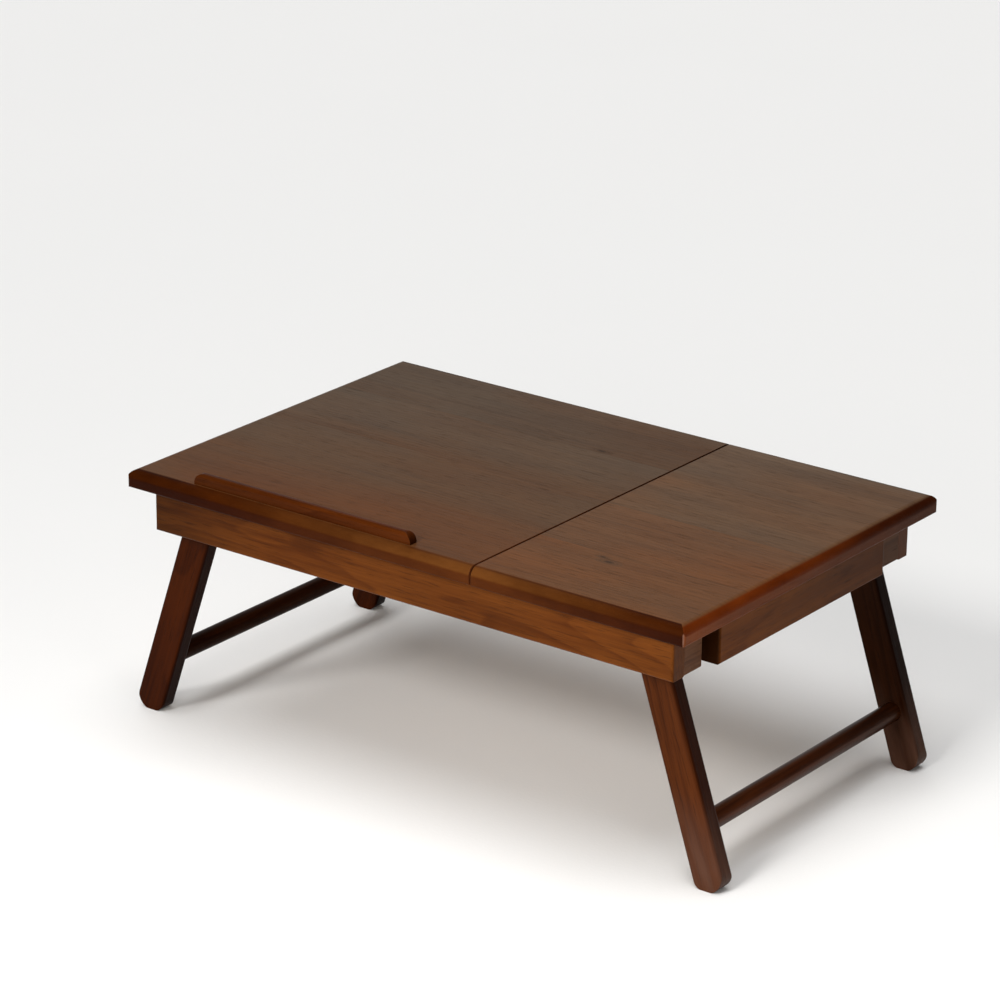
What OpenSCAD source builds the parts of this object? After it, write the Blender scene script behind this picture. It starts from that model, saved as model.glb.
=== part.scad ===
// Laptop stand with drawer: a wooden lap desk with a tilting top panel, a small
// side drawer and two pairs of splayed legs that fold up under the tray.
// Millimetres. X along the length (drawer end is +X), Y to the back, Z up, floor at z = 0.

/* [Tray] */
// Length of the two top panels together
top_len = 530; // [524:1:536]
// Depth of the top panels, front to back
top_dep = 350; // [346:1:354]
// Height of the work surface above the floor
top_z = 217; // [214:1:222]
// Thickness of the top panels
top_t = 15; // [14.5:0.5:16]
// Radius of the rounded top edge
edge_r = 8; // [5:0.5:9]
// Position of the seam between the two panels
seam_x = 73; // [71:1:74]
// Width of the seam
seam_w = 2; // [1.5:0.5:3]
// Height of the rails
rail_h = 36; // [35:0.5:38]
// Thickness of the front and back rails
rail_t = 15; // [14:0.5:15.5]
// Overhang of the top past the rail ends
end_over = 17.5; // [16:0.5:19]
// Overhang of the top past the front and back rails
side_over = 13; // [12:0.5:13.5]

/* [Legs] */
// Length over the feet
foot_span = 568; // [564:1:570]
// Splay of the legs from the vertical, in degrees
splay = 18.5; // [18:0.25:19]
// Width of a leg
leg_w = 27; // [25:0.5:28]
// Thickness of a leg
leg_t = 15; // [14:0.5:15]
// Diameter of the stretchers
stretcher_d = 16; // [14:0.5:17]
// Height of the stretchers above the floor
stretcher_z = 46.5; // [46:0.5:60]

/* [Book stop] */
// Length of the book stop
stop_len = 213; // [200:1:220]
// Thickness of the book stop
stop_t = 8; // [7:0.5:9]
// Height of the book stop
stop_h = 9; // [8:0.5:12]

/* [Drawer] */
// Width of the drawer front
drawer_w = 227; // [225:1:230]
// Thickness of the drawer front
drawer_t = 16; // [14:0.5:17]
// How far the drawer front stands proud of the rail ends
drawer_proud = 8; // [6:0.5:9]

/* [Hidden] */
$fn = 64;
air = 0.3;                              // gap between pieces that move past each other
ease_r = 1.5;                           // eased lower edge of the top
corner_r = 3;                           // corners of the top in plan
under = top_z - top_t;                  // underside of the top = top of the rails
x_out = top_len/2;
y_out = top_dep/2;
lid_x0 = -x_out;
lid_x1 = seam_x - seam_w/2;
fix_x0 = seam_x + seam_w/2;
rail_x = x_out - end_over;              // outer end of the rails
rail_yo = y_out - side_over;            // outer face of the rails
rail_yi = rail_yo - rail_t;             // inner face
rail_z = under - rail_h;                // bottom of the rails

// legs
pivot_z = under - 26;
foot_r = leg_w/2;
foot_flat = 1;                          // flat sanded on the rounded foot
foot_cz = foot_r - foot_flat;
foot_cx = foot_span/2 - foot_r;
pivot_x = foot_cx - (pivot_z - foot_cz)*tan(splay);
leg_l = (pivot_z - foot_cz)/cos(splay);
leg_yo = rail_yi - 1.5;
leg_yi = leg_yo - leg_t;
leg_edge = 2.5;
str_r = stretcher_d/2;
str_s = (pivot_z - stretcher_z)/cos(splay);
str_x = pivot_x + (pivot_z - stretcher_z)*tan(splay);
str_sock = 10;
// inner face of the end rail and end blocks: the open leg leans on its lower corner
stop_x = pivot_x + (foot_r + air + (pivot_z - rail_z)*sin(splay))/cos(splay);
end_t = rail_x - stop_x;
end_cx = (rail_x + stop_x)/2;
block_yi = rail_yi - 22;

// pivot hardware
piv_r = 3.1;
piv_fit = 0.05;
piv_tip_r = 2.25;
piv_tip_l = 11;

// base board and cross rail
board_z0 = under - 11.5;
board_t = 4;
groove_d = 5;
cross_x0 = seam_x - 11;
cross_x1 = seam_x + 11;
cross_rab = 5;

// hinges of the tilting panel
hinge_y = -(rail_yo + 2.9);
hinge_z = under + 0.15;
knuckle_r = 2.75;
hpin_r = 1.45;
hinge_fit = 0.05;
leaf_t = 1.5;
leaf_w = 36;
lid_cx = (lid_x0 + lid_x1)/2;
hinge_dx = 110;
book_x = lid_cx + 1;                    // middle of the book stop
leaf_yi = hinge_y + 15.9;
hscrew_y = hinge_y + 10.4;
hscrew_dx = 11;

// prop
prop_a = 150;                           // hinge axis to prop pivot
prop_b = 125;                           // prop pivot to foot rod
prop_k = 2.259;                         // degrees of prop per degree of tilt
tilt_max = 35;
prop_dz = 2;                            // pivot below the underside of the top
prop_py = hinge_y + prop_a;
prop_pz = under - prop_dz;
prop_off = hinge_z - prop_pz;
rod_r = 2.4;
arm_h = 6;
arm_t = 2.5;
arm_x = 50;                             // inner face of an arm from the middle of the panel
eye_r = 3.4;
prop_pin_r = 1.5;
well_z = under + 2.5;                   // ceiling of the shallow well in the panel
ear_t = 1.5;
function rod_y(t) = hinge_y + prop_a*cos(t) + prop_off*sin(t) + prop_b*cos(prop_k*t - t);
function rod_z(t) = hinge_z + prop_a*sin(t) - prop_off*cos(t) - prop_b*sin(prop_k*t - t);
function notch_t(i) = tilt_max - 4*i;
rack_x = 30;
rack_w = 10;
notches = 4;
valley_z = under - 9.3;
rack_y0 = rod_y(tilt_max) - rod_r - 6.5;
rack_y1 = rod_y(notch_t(notches - 1)) + rod_r + 6;

// drawer
dr_x1 = rail_x + drawer_proud;
dr_x0 = dr_x1 - drawer_t;
dr_yo = drawer_w/2;
dr_side_t = 8;
dr_side_yo = 111;
dr_side_yi = dr_side_yo - dr_side_t;
dr_back_x = 92;
dr_z0 = under - 29.5;
dr_z1 = under - 3.5;
dr_bot_z = dr_z0 + 2.5;
dr_bot_t = 3;
dr_top = under - 1.5;
run_yi = dr_side_yo + 0.5;
run_yo = run_yi + 8;
run_z0 = under - 33.5;
run_x0 = 90;
run_x1 = 230;
stopb_x = 196;

walnut = [0.36, 0.21, 0.13];
walnut_dark = [0.27, 0.15, 0.09];
ply = [0.62, 0.47, 0.31];
beech = [0.78, 0.62, 0.42];
steel = [0.72, 0.73, 0.75];
brass = [0.78, 0.62, 0.30];

// ---------- shared shapes ----------

// section w wide and t high with rounded top corners
module edge_profile(w, t, r, a = true, b = true) {
  square([w, t - r]);
  translate([a ? r : 0, 0]) square([w - (a ? r : 0) - (b ? r : 0), t]);
  if (a) translate([r, t - r]) circle(r = r);
  if (b) translate([w - r, t - r]) circle(r = r);
}

// the same with the lower corners eased as well, radius q
module panel_profile(w, t, r, q, a = true, b = true) {
  translate([0, q]) square([w, t - r - q]);
  translate([a ? r : 0, q]) square([w - (a ? r : 0) - (b ? r : 0), t - q]);
  translate([a ? q : 0, 0]) square([w - (a ? q : 0) - (b ? q : 0), t - r]);
  if (a) translate([r, t - r]) circle(r = r);
  if (b) translate([w - r, t - r]) circle(r = r);
  if (a) translate([q, q]) circle(r = q);
  if (b) translate([w - q, q]) circle(r = q);
}

module along_x(x0, x1) translate([x0, 0, 0]) rotate([90, 0, 90]) linear_extrude(height = x1 - x0) children();
module along_y(y0, y1) translate([0, y1, 0]) rotate([90, 0, 0]) linear_extrude(height = y1 - y0) children();
module box(x0, x1, y0, y1, z0, z1) translate([x0, y0, z0]) cube([x1 - x0, y1 - y0, z1 - z0]);
module rod_x(x0, x1, y, z, r) translate([x0, y, z]) rotate([0, 90, 0]) cylinder(r = r, h = x1 - x0);
module rod_y0(x, y0, y1, z, r) translate([x, y1, z]) rotate([90, 0, 0]) cylinder(r = r, h = y1 - y0);
module rod_z0(x, y, z0, z1, r) translate([x, y, z0]) cylinder(r = r, h = z1 - z0);

// dowel with chamfered ends, along z
module dowel(d, l) {
  translate([0, 0, 0.8]) cylinder(d = d, h = l - 1.6);
  cylinder(d1 = d - 1.6, d2 = d, h = 0.8);
  translate([0, 0, l - 0.8]) cylinder(d1 = d, d2 = d - 1.6, h = 0.8);
}

// countersunk screw, head at z = 0, tip up
module csk_screw(r, hr, hh, l) {
  cylinder(r1 = hr, r2 = r, h = hh);
  translate([0, 0, hh]) cylinder(r = r, h = l - hh - 1.5*r);
  translate([0, 0, l - 1.5*r]) cylinder(r1 = r, r2 = 0.3, h = 1.5*r);
}
module csk_hole(r, hr, hh, l) {
  translate([0, 0, -0.01]) cylinder(r1 = hr + 0.05, r2 = r + 0.05, h = hh + 0.01);
  translate([0, 0, hh - 0.1]) cylinder(r = r + 0.05, h = l - hh + 0.3);
}
// cross slot of a screw head, head face at z = 0, cut upward
module drive(s, d) {
  translate([-s/2, -0.4, -1]) cube([s, 0.8, 1 + d]);
  translate([-0.4, -s/2, -1]) cube([0.8, s, 1 + d]);
}

// ---------- frame ----------

module rail_blank() intersection() {
  // section in y and z, lower corners rounded
  along_x(-rail_x, rail_x)
    translate([-rail_yo + rail_t, rail_z + rail_h]) rotate(180) edge_profile(rail_t, rail_h, 2);
  // plan, outer corners of the ends rounded
  translate([-rail_x, -rail_yi, rail_z - 1]) mirror([0, 1, 0]) linear_extrude(height = rail_h + 2)
    edge_profile(2*rail_x, rail_t, 2);
}

// features shared by the two rails, in front rail position
module rail_cuts() {
  // groove for the base board
  box(-stop_x - groove_d, cross_x0 + cross_rab, -rail_yi - groove_d, -rail_yi + 1, board_z0, board_z0 + board_t);
  // housing for the cross rail
  box(cross_x0, cross_x1, -rail_yi - groove_d, -rail_yi + 1, board_z0, under + 1);
  // pilot holes for the leg pivots
  for (s = [-1, 1]) rod_y0(s*pivot_x, -rail_yi - piv_tip_l - 0.3, -rail_yi + 1, pivot_z, piv_tip_r + 0.05);
  // dowels to the end rail and end block
  for (s = [-1, 1]) for (z = [under - 27, under - 17])
    rod_y0(s*end_cx, -rail_yi - 10.3, -rail_yi + 1, z, 3.05);
  // dowels to the fixed panel
  for (x = [seam_x + 37, rail_x - 20]) rod_z0(x, -(rail_yo + rail_yi)/2, under - 12.3, under + 1, 4.05);
}

module hinge_mortise() {
  for (s = [-1, 1]) {
    box(lid_cx + s*hinge_dx - leaf_w/2 - 0.1, lid_cx + s*hinge_dx + leaf_w/2 + 0.1,
        -rail_yo - 1, leaf_yi + 0.1, under - 1.6, under + 1);
    for (k = [-1, 1])
      rod_z0(lid_cx + s*hinge_dx + k*hscrew_dx, hscrew_y, under - 12.3, under, 1.55);
  }
}

module front_rail() color(walnut) difference() {
  rail_blank();
  rail_cuts();
  hinge_mortise();
}

module back_rail() color(walnut) mirror([0, 1, 0]) difference() {
  rail_blank();
  rail_cuts();
}

module end_dowel_holes(y0, y1) {
  for (z = [under - 27, under - 17]) rod_y0(0, y0, y1, z, 3.05);
}

module left_end_rail() color(walnut) difference() {
  along_y(-rail_yi, rail_yi)
    translate([-stop_x, rail_z + rail_h]) rotate(180) edge_profile(end_t, rail_h, 2, false, true);
  box(-stop_x - groove_d, -stop_x + 1, -rail_yi - 1, rail_yi + 1, board_z0, board_z0 + board_t);
  for (s = [-1, 1]) for (z = [under - 27, under - 17])
    rod_y0(-end_cx, s > 0 ? rail_yi - 18.3 : -rail_yi - 1, s > 0 ? rail_yi + 1 : -rail_yi + 18.3, z, 3.05);
}

module end_block() difference() {
  along_y(-rail_yi, -block_yi)
    translate([rail_x, rail_z]) mirror([1, 0]) translate([0, 0])
      translate([0, rail_h]) mirror([0, 1]) edge_profile(end_t, rail_h, 2, true, false);
  for (z = [under - 27, under - 17]) rod_y0(end_cx, -rail_yi - 1, -rail_yi + 18.3, z, 3.05);
}
module end_block_front() color(walnut) end_block();
module end_block_back() color(walnut) mirror([0, 1, 0]) end_block();

module cross_rail() color(walnut) difference() {
  box(cross_x0, cross_x1, -rail_yi - groove_d, rail_yi + groove_d, board_z0, under);
  box(cross_x0 - 1, cross_x0 + cross_rab, -rail_yi - groove_d - 1, rail_yi + groove_d + 1, board_z0 - 1, board_z0 + board_t);
  for (y = [-60, 60]) translate([seam_x + 6, y, board_z0]) csk_hole(1.75, 3.4, 2.2, 12);
}

module base_board() color(ply) difference() {
  box(-stop_x - groove_d, cross_x0 + cross_rab, -rail_yi - groove_d, rail_yi + groove_d, board_z0, board_z0 + board_t);
  for (s = [-1, 1])
    box(lid_cx + s*(rack_x + rack_w/2) - rack_w/2, lid_cx + s*(rack_x + rack_w/2) + rack_w/2,
        rack_y0, rack_y1, board_z0 - 1, board_z0 + board_t + 1);
}

// side view of a notched rack: the foot rod rides up each ramp and drops against the upright face
module rack_profile() polygon(concat(
  [[rack_y0, board_z0], [rack_y0, under - 2.5], [rod_y(tilt_max) - rod_r - 0.5, under - 2.5]],
  [for (i = [0 : notches - 1]) for (p = [
      [rod_y(notch_t(i)) - rod_r - (i == 0 ? 0.5 : 0), valley_z],
      [rod_y(notch_t(i)) + rod_r + 0.1, valley_z],
      [rod_y(notch_t(i)) + rod_r + 0.1, rod_z(notch_t(i)) - rod_r - 0.5],
      [rod_y(notch_t(i)) + rod_r + 1.3, rod_z(notch_t(i)) - rod_r - 0.6]]) p],
  [[rack_y1, board_z0 + board_t], [rack_y1, board_z0]]));

module rack(s) along_x(lid_cx + s*(rack_x + rack_w/2) - rack_w/2, lid_cx + s*(rack_x + rack_w/2) + rack_w/2)
  rack_profile();
module rack_left() color(beech) rack(-1);
module rack_right() color(beech) rack(1);

module frame_dowels() color(beech) for (z = [under - 27, under - 17]) {
  for (s = [-1, 1]) translate([-end_cx, s*(rail_yi + 10), z]) rotate([s*90, 0, 0]) dowel(6, 28);
  for (s = [-1, 1]) translate([end_cx, s*(rail_yi + 10), z]) rotate([s*90, 0, 0]) dowel(6, 28);
}

module panel_dowels() color(beech) for (s = [-1, 1]) for (x = [seam_x + 37, rail_x - 20])
  translate([x, s*(rail_yo + rail_yi)/2, under - 12]) dowel(8, 22);

module cross_rail_screws() color(steel) for (y = [-60, 60]) translate([seam_x + 6, y, board_z0]) difference() {
  csk_screw(1.75, 3.4, 2.2, 20);
  drive(3.4, 1.3);
}

// ---------- top panels ----------

module fixed_panel() color(walnut) difference() {
  intersection() {
    along_x(fix_x0, x_out) translate([-y_out, under]) panel_profile(top_dep, top_t, edge_r, ease_r);
    along_y(-y_out, y_out) translate([fix_x0, under]) panel_profile(x_out - fix_x0, top_t, edge_r, ease_r, false, true);
    translate([fix_x0, y_out, under]) rotate([0, 0, -90]) linear_extrude(height = top_t + 1)
      edge_profile(top_dep, x_out - fix_x0, corner_r);
  }
  for (s = [-1, 1]) for (x = [seam_x + 37, rail_x - 20])
    rod_z0(x, s*(rail_yo + rail_yi)/2, under - 1, under + 10.3, 4.05);
  for (y = [-60, 60]) rod_z0(seam_x + 6, y, under - 1, under + 8.8, 1.8);
  for (s = [-1, 1]) for (x = [run_x0 + 20, run_x1 - 20]) rod_z0(x, s*(run_yi + 4), under - 1, under + 10.3, 1.8);
  rod_z0(stopb_x + 4, 0, under - 1, under + 9.3, 1.55);
}

module tilt_panel() color(walnut) difference() {
  intersection() {
    along_x(lid_x0, lid_x1) translate([-y_out, under + air]) panel_profile(top_dep, top_t - air, edge_r, ease_r);
    along_y(-y_out, y_out) translate([lid_x0, under + air]) panel_profile(lid_x1 - lid_x0, top_t - air, edge_r, ease_r, true, false);
    translate([lid_x1, -y_out, under + air]) rotate([0, 0, 90]) linear_extrude(height = top_t + 1)
      edge_profile(top_dep, lid_x1 - lid_x0, corner_r);
  }
  // shallow well for the prop and the racks
  box(lid_cx - 60, lid_cx + 60, prop_py - 9, prop_py + prop_b + 8, under - 1, well_z);
  // hinge leaves and knuckles
  for (s = [-1, 1]) {
    box(lid_cx + s*hinge_dx - leaf_w/2 - 0.1, lid_cx + s*hinge_dx + leaf_w/2 + 0.1,
        hinge_y + 1, leaf_yi + 0.1, under - 1, hinge_z + 0.25 + leaf_t);
    box(lid_cx + s*hinge_dx - leaf_w/2 - 0.3, lid_cx + s*hinge_dx + leaf_w/2 + 0.3,
        hinge_y - 3.3, hinge_y + 3.2, under - 1, hinge_z + 3.15);
    for (k = [-1, 1])
      rod_z0(lid_cx + s*hinge_dx + k*hscrew_dx, hscrew_y, under + 1, hinge_z + 0.25 + 10.8, 1.55);
  }
  // book stop screws
  for (i = [-1 : 1]) translate([book_x + i*stop_len*0.27, -y_out + edge_r + stop_t/2, under + air])
    csk_hole(1.75, 3.4, 2.2, top_t);
  // bracket screws
  for (s = [-1, 1]) for (k = [-1, 1])
    rod_z0(lid_cx + s*(arm_x - 6.4), prop_py + k*4, well_z - 1, well_z + 7.3, 1.3);
}

module book_stop() color(walnut) difference() {
  intersection() {
    along_x(book_x - stop_len/2, book_x + stop_len/2)
      translate([-y_out + edge_r, top_z]) edge_profile(stop_t, stop_h, 3);
    along_y(-y_out, 0)
      translate([book_x - stop_len/2, top_z]) edge_profile(stop_len, stop_h, stop_h - 1);
  }
  for (i = [-1 : 1]) rod_z0(book_x + i*stop_len*0.27, -y_out + edge_r + stop_t/2, top_z - 1, top_z + 5.3, 1.8);
}

module book_stop_screws() color(steel) for (i = [-1 : 1])
  translate([book_x + i*stop_len*0.27, -y_out + edge_r + stop_t/2, under + air]) difference() {
    csk_screw(1.75, 3.4, 2.2, top_t + 4.7);
    drive(3.4, 1.3);
  }

// ---------- hinges ----------

module knuckle(x0, x1) rod_x(x0, x1, hinge_y, hinge_z, knuckle_r);

// leaf let into the rail: outer knuckles
module rail_leaf(s) difference() {
  union() {
    box(lid_cx + s*hinge_dx - leaf_w/2, lid_cx + s*hinge_dx + leaf_w/2, hinge_y + 1.9, leaf_yi,
        hinge_z - 0.25 - leaf_t, hinge_z - 0.25);
    knuckle(lid_cx + s*hinge_dx - leaf_w/2, lid_cx + s*hinge_dx - leaf_w/6);
    knuckle(lid_cx + s*hinge_dx + leaf_w/6, lid_cx + s*hinge_dx + leaf_w/2);
  }
  // clearance round the middle knuckle
  rod_x(lid_cx + s*hinge_dx - leaf_w/6, lid_cx + s*hinge_dx + leaf_w/6, hinge_y, hinge_z, knuckle_r + air);
  rod_x(lid_cx + s*hinge_dx - leaf_w, lid_cx + s*hinge_dx + leaf_w, hinge_y, hinge_z, hpin_r + 0.02);
  for (k = [-1, 1]) translate([lid_cx + s*hinge_dx + k*hscrew_dx, hscrew_y, hinge_z - 0.25])
    mirror([0, 0, 1]) csk_hole(1.5, 2.7, 1.2, 3);
}

// leaf let into the panel: middle knuckle
module panel_leaf(s) difference() {
  union() {
    box(lid_cx + s*hinge_dx - leaf_w/2, lid_cx + s*hinge_dx + leaf_w/2, hinge_y + 1.9, leaf_yi,
        hinge_z + 0.25, hinge_z + 0.25 + leaf_t);
    knuckle(lid_cx + s*hinge_dx - leaf_w/6 + 0.3, lid_cx + s*hinge_dx + leaf_w/6 - 0.3);
  }
  for (k = [-1, 1]) rod_x(lid_cx + s*hinge_dx + (k > 0 ? leaf_w/6 - 0.3 : -leaf_w), lid_cx + s*hinge_dx + (k > 0 ? leaf_w : -leaf_w/6 + 0.3),
    hinge_y, hinge_z, knuckle_r + air);
  rod_x(lid_cx + s*hinge_dx - leaf_w, lid_cx + s*hinge_dx + leaf_w, hinge_y, hinge_z, hpin_r + hinge_fit);
  for (k = [-1, 1]) translate([lid_cx + s*hinge_dx + k*hscrew_dx, hscrew_y, hinge_z + 0.25])
    csk_hole(1.5, 2.7, 1.2, 3);
}

module hinge_pin(s) rod_x(lid_cx + s*hinge_dx - leaf_w/2, lid_cx + s*hinge_dx + leaf_w/2, hinge_y, hinge_z, hpin_r);

module hinge_left_rail_leaf() color(brass) rail_leaf(-1);
module hinge_left_panel_leaf() color(brass) panel_leaf(-1);
module hinge_left_pin() color(steel) hinge_pin(-1);
module hinge_right_rail_leaf() color(brass) rail_leaf(1);
module hinge_right_panel_leaf() color(brass) panel_leaf(1);
module hinge_right_pin() color(steel) hinge_pin(1);

module hinge_rail_screws() color(brass) for (s = [-1, 1]) for (k = [-1, 1])
  translate([lid_cx + s*hinge_dx + k*hscrew_dx, hscrew_y, hinge_z - 0.25]) mirror([0, 0, 1]) difference() {
    csk_screw(1.5, 2.7, 1.2, 11);
    drive(2.8, 0.8);
  }
module hinge_panel_screws() color(brass) for (s = [-1, 1]) for (k = [-1, 1])
  translate([lid_cx + s*hinge_dx + k*hscrew_dx, hscrew_y, hinge_z + 0.25]) difference() {
    csk_screw(1.5, 2.7, 1.2, 10.5);
    drive(2.8, 0.8);
  }

// ---------- prop ----------

module prop_bracket(s) difference() {
  union() {
    // plate on the ceiling of the well
    box(s > 0 ? lid_cx + arm_x - 12.5 : lid_cx - arm_x + air, s > 0 ? lid_cx + arm_x - air : lid_cx - arm_x + 12.5,
        prop_py - 7, prop_py + 7, well_z - 1.2, well_z);
    // ear
    box(s > 0 ? lid_cx + arm_x - air - ear_t : lid_cx - arm_x + air, s > 0 ? lid_cx + arm_x - air : lid_cx - arm_x + air + ear_t,
        prop_py - 3.2, prop_py + 3.2, prop_pz, well_z);
    rod_x(s > 0 ? lid_cx + arm_x - air - ear_t : lid_cx - arm_x + air, s > 0 ? lid_cx + arm_x - air : lid_cx - arm_x + air + ear_t,
        prop_py, prop_pz, 3.2);
  }
  rod_x(lid_cx + s*arm_x - 5, lid_cx + s*arm_x + 5, prop_py, prop_pz, prop_pin_r + 0.02);
  for (k = [-1, 1]) rod_z0(lid_cx + s*(arm_x - 6.4), prop_py + k*4, well_z - 3, well_z + 1, 1.3);
}
module prop_bracket_left() color(steel) prop_bracket(-1);
module prop_bracket_right() color(steel) prop_bracket(1);

module prop_bracket_screws() color(steel) for (s = [-1, 1]) for (k = [-1, 1])
  translate([lid_cx + s*(arm_x - 6.4), prop_py + k*4, well_z - 1.2]) difference() {
    union() {
      translate([0, 0, -1.1]) cylinder(r = 2.3, h = 1.1);
      cylinder(r = 1.25, h = 7);
      translate([0, 0, 7]) cylinder(r1 = 1.25, r2 = 0.3, h = 1.2);
    }
    translate([0, 0, -1.1]) drive(2.2, 0.6);
  }

module prop_rivets() color(steel) for (s = [-1, 1]) mirror([s > 0 ? 0 : 1, 0, 0])
  translate([s*lid_cx, 0, 0]) {
    rod_x(arm_x - air - ear_t - 0.8, arm_x + arm_t + air + 0.8, prop_py, prop_pz, prop_pin_r);
    rod_x(arm_x - air - ear_t - 0.8, arm_x - air - ear_t, prop_py, prop_pz, 2.5);
    rod_x(arm_x + arm_t + air, arm_x + arm_t + air + 0.8, prop_py, prop_pz, 2.5);
  }

module prop_arm(s) difference() {
  union() {
    box(s > 0 ? lid_cx + arm_x : lid_cx - arm_x - arm_t, s > 0 ? lid_cx + arm_x + arm_t : lid_cx - arm_x,
        prop_py, prop_py + prop_b, prop_pz - arm_h/2, prop_pz + arm_h/2);
    rod_x(s > 0 ? lid_cx + arm_x : lid_cx - arm_x - arm_t, s > 0 ? lid_cx + arm_x + arm_t : lid_cx - arm_x, prop_py, prop_pz, arm_h/2);
    rod_x(s > 0 ? lid_cx + arm_x : lid_cx - arm_x - arm_t, s > 0 ? lid_cx + arm_x + arm_t : lid_cx - arm_x, prop_py + prop_b, prop_pz, eye_r);
  }
  rod_x(lid_cx + s*arm_x - 5, lid_cx + s*arm_x + 5, prop_py, prop_pz, prop_pin_r + 0.05);
  rod_x(lid_cx + s*arm_x - 5, lid_cx + s*arm_x + 5, prop_py + prop_b, prop_pz, rod_r + 0.02);
}
module prop_arm_left() color(steel) prop_arm(-1);
module prop_arm_right() color(steel) prop_arm(1);
module prop_foot_rod() color(steel) rod_x(lid_cx - arm_x - arm_t - 1, lid_cx + arm_x + arm_t + 1, prop_py + prop_b, prop_pz, rod_r);

// ---------- legs ----------

// upright leg with the pivot at the origin, thickness from y = 0 to leg_t, inner face at y = 0
module leg_blank() difference() {
  intersection() {
    along_y(0, leg_t) union() {
      circle(r = foot_r);
      translate([0, -leg_l]) circle(r = foot_r);
      translate([-foot_r, -leg_l]) square([leg_w, leg_l]);
    }
    translate([0, 0, -leg_l - foot_r - 1]) linear_extrude(height = leg_l + leg_w + 2) union() {
      translate([-foot_r + leg_edge, 0]) square([leg_w - 2*leg_edge, leg_t]);
      translate([-foot_r, leg_edge]) square([leg_w, leg_t - 2*leg_edge]);
      for (a = [-1, 1]) for (b = [leg_edge, leg_t - leg_edge]) translate([a*(foot_r - leg_edge), b]) circle(r = leg_edge);
    }
  }
  rod_y0(0, -1, leg_t + 1, 0, piv_r + piv_fit);
  rod_y0(0, -1, str_sock + 0.3, -str_s, str_r + 0.05);
}

// sx: -1 left, 1 right; sy: -1 front, 1 back
module leg(sx, sy) mirror([0, sy > 0 ? 0 : 1, 0]) mirror([sx > 0 ? 0 : 1, 0, 0]) difference() {
  translate([pivot_x, leg_yi, pivot_z]) rotate([0, -splay, 0]) leg_blank();
  box(foot_cx - 60, foot_cx + 60, leg_yi - 1, leg_yo + 1, -20, 0);
}
module leg_left_front() color(walnut_dark) leg(-1, -1);
module leg_left_back() color(walnut_dark) leg(-1, 1);
module leg_right_front() color(walnut_dark) leg(1, -1);
module leg_right_back() color(walnut_dark) leg(1, 1);

module stretcher(s) translate([s*str_x, leg_yi + str_sock, stretcher_z]) rotate([90, 0, 0])
  dowel(stretcher_d, 2*(leg_yi + str_sock));
module stretcher_left() color(walnut_dark) stretcher(-1);
module stretcher_right() color(walnut_dark) stretcher(1);

// pivot hardware, drawn for the back right leg, mirrored to the others
module four_pivots() for (a = [0, 1]) for (b = [0, 1]) mirror([a, 0, 0]) mirror([0, b, 0])
  translate([pivot_x, 0, pivot_z]) children();

module pivot_screws() color(steel) four_pivots() difference() {
  union() {
    rod_y0(0, leg_yi - air - 1 - 3, leg_yi - air - 1, 0, 6);
    rod_y0(0, leg_yi - air - 1, rail_yi, 0, piv_r);
    rod_y0(0, rail_yi, rail_yi + piv_tip_l, 0, piv_tip_r);
  }
  translate([0, leg_yi - air - 4, 0]) rotate([-90, 0, 0]) drive(6, 1.6);
}
module pivot_washers() color(steel) four_pivots() difference() {
  rod_y0(0, leg_yi - air - 1, leg_yi - air, 0, 8);
  rod_y0(0, leg_yi - 3, leg_yi, 0, piv_r + 0.05);
}
module pivot_spacers() color(steel) four_pivots() difference() {
  rod_y0(0, leg_yo + air, rail_yi, 0, 8);
  rod_y0(0, leg_yo, rail_yi + 1, 0, piv_r + 0.05);
}

// ---------- drawer ----------

module drawer_front() color(walnut) difference() {
  intersection() {
    along_y(-dr_yo, dr_yo) union() {
      translate([dr_x0, rail_z]) square([drawer_t - 2, dr_top - rail_z]);
      translate([dr_x0, rail_z + 2]) square([drawer_t, dr_top - rail_z - 4]);
      for (z = [rail_z + 2, dr_top - 2]) translate([dr_x1 - 2, z]) circle(r = 2);
    }
    // plan, outer corners of the ends rounded
    translate([dr_x0, -dr_yo, rail_z - 1]) linear_extrude(height = rail_h + 2) union() {
      square([drawer_t - 2, drawer_w]);
      translate([0, 2]) square([drawer_t, drawer_w - 4]);
      for (y = [2, drawer_w - 2]) translate([drawer_t - 2, y]) circle(r = 2);
    }
  }
  // groove for the bottom
  box(dr_x0 - 1, dr_x0 + 4, -dr_side_yi - 4, dr_side_yi + 4, dr_bot_z, dr_bot_z + dr_bot_t);
  for (s = [-1, 1]) for (z = [dr_z0 + 10.5, dr_z0 + 19.5]) rod_x(dr_x0 - 1, dr_x0 + 8.3, s*(dr_side_yi + 4), z, 2.55);
}

module drawer_side() difference() {
  box(dr_back_x, dr_x0, dr_side_yi, dr_side_yo, dr_z0, dr_z1);
  box(dr_back_x - 1, dr_x0 + 1, dr_side_yi - 1, dr_side_yi + 4, dr_bot_z, dr_bot_z + dr_bot_t);
  for (z = [dr_z0 + 10.5, dr_z0 + 19.5]) rod_x(dr_x0 - 12.3, dr_x0 + 1, dr_side_yi + 4, z, 2.55);
  for (z = [dr_z0 + 10.5, dr_z0 + 19.5]) rod_y0(dr_back_x + 4, dr_side_yi - 1, dr_side_yo + 1, z, 0.95);
}
module drawer_side_back() color(beech) drawer_side();
module drawer_side_front() color(beech) mirror([0, 1, 0]) drawer_side();

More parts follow.
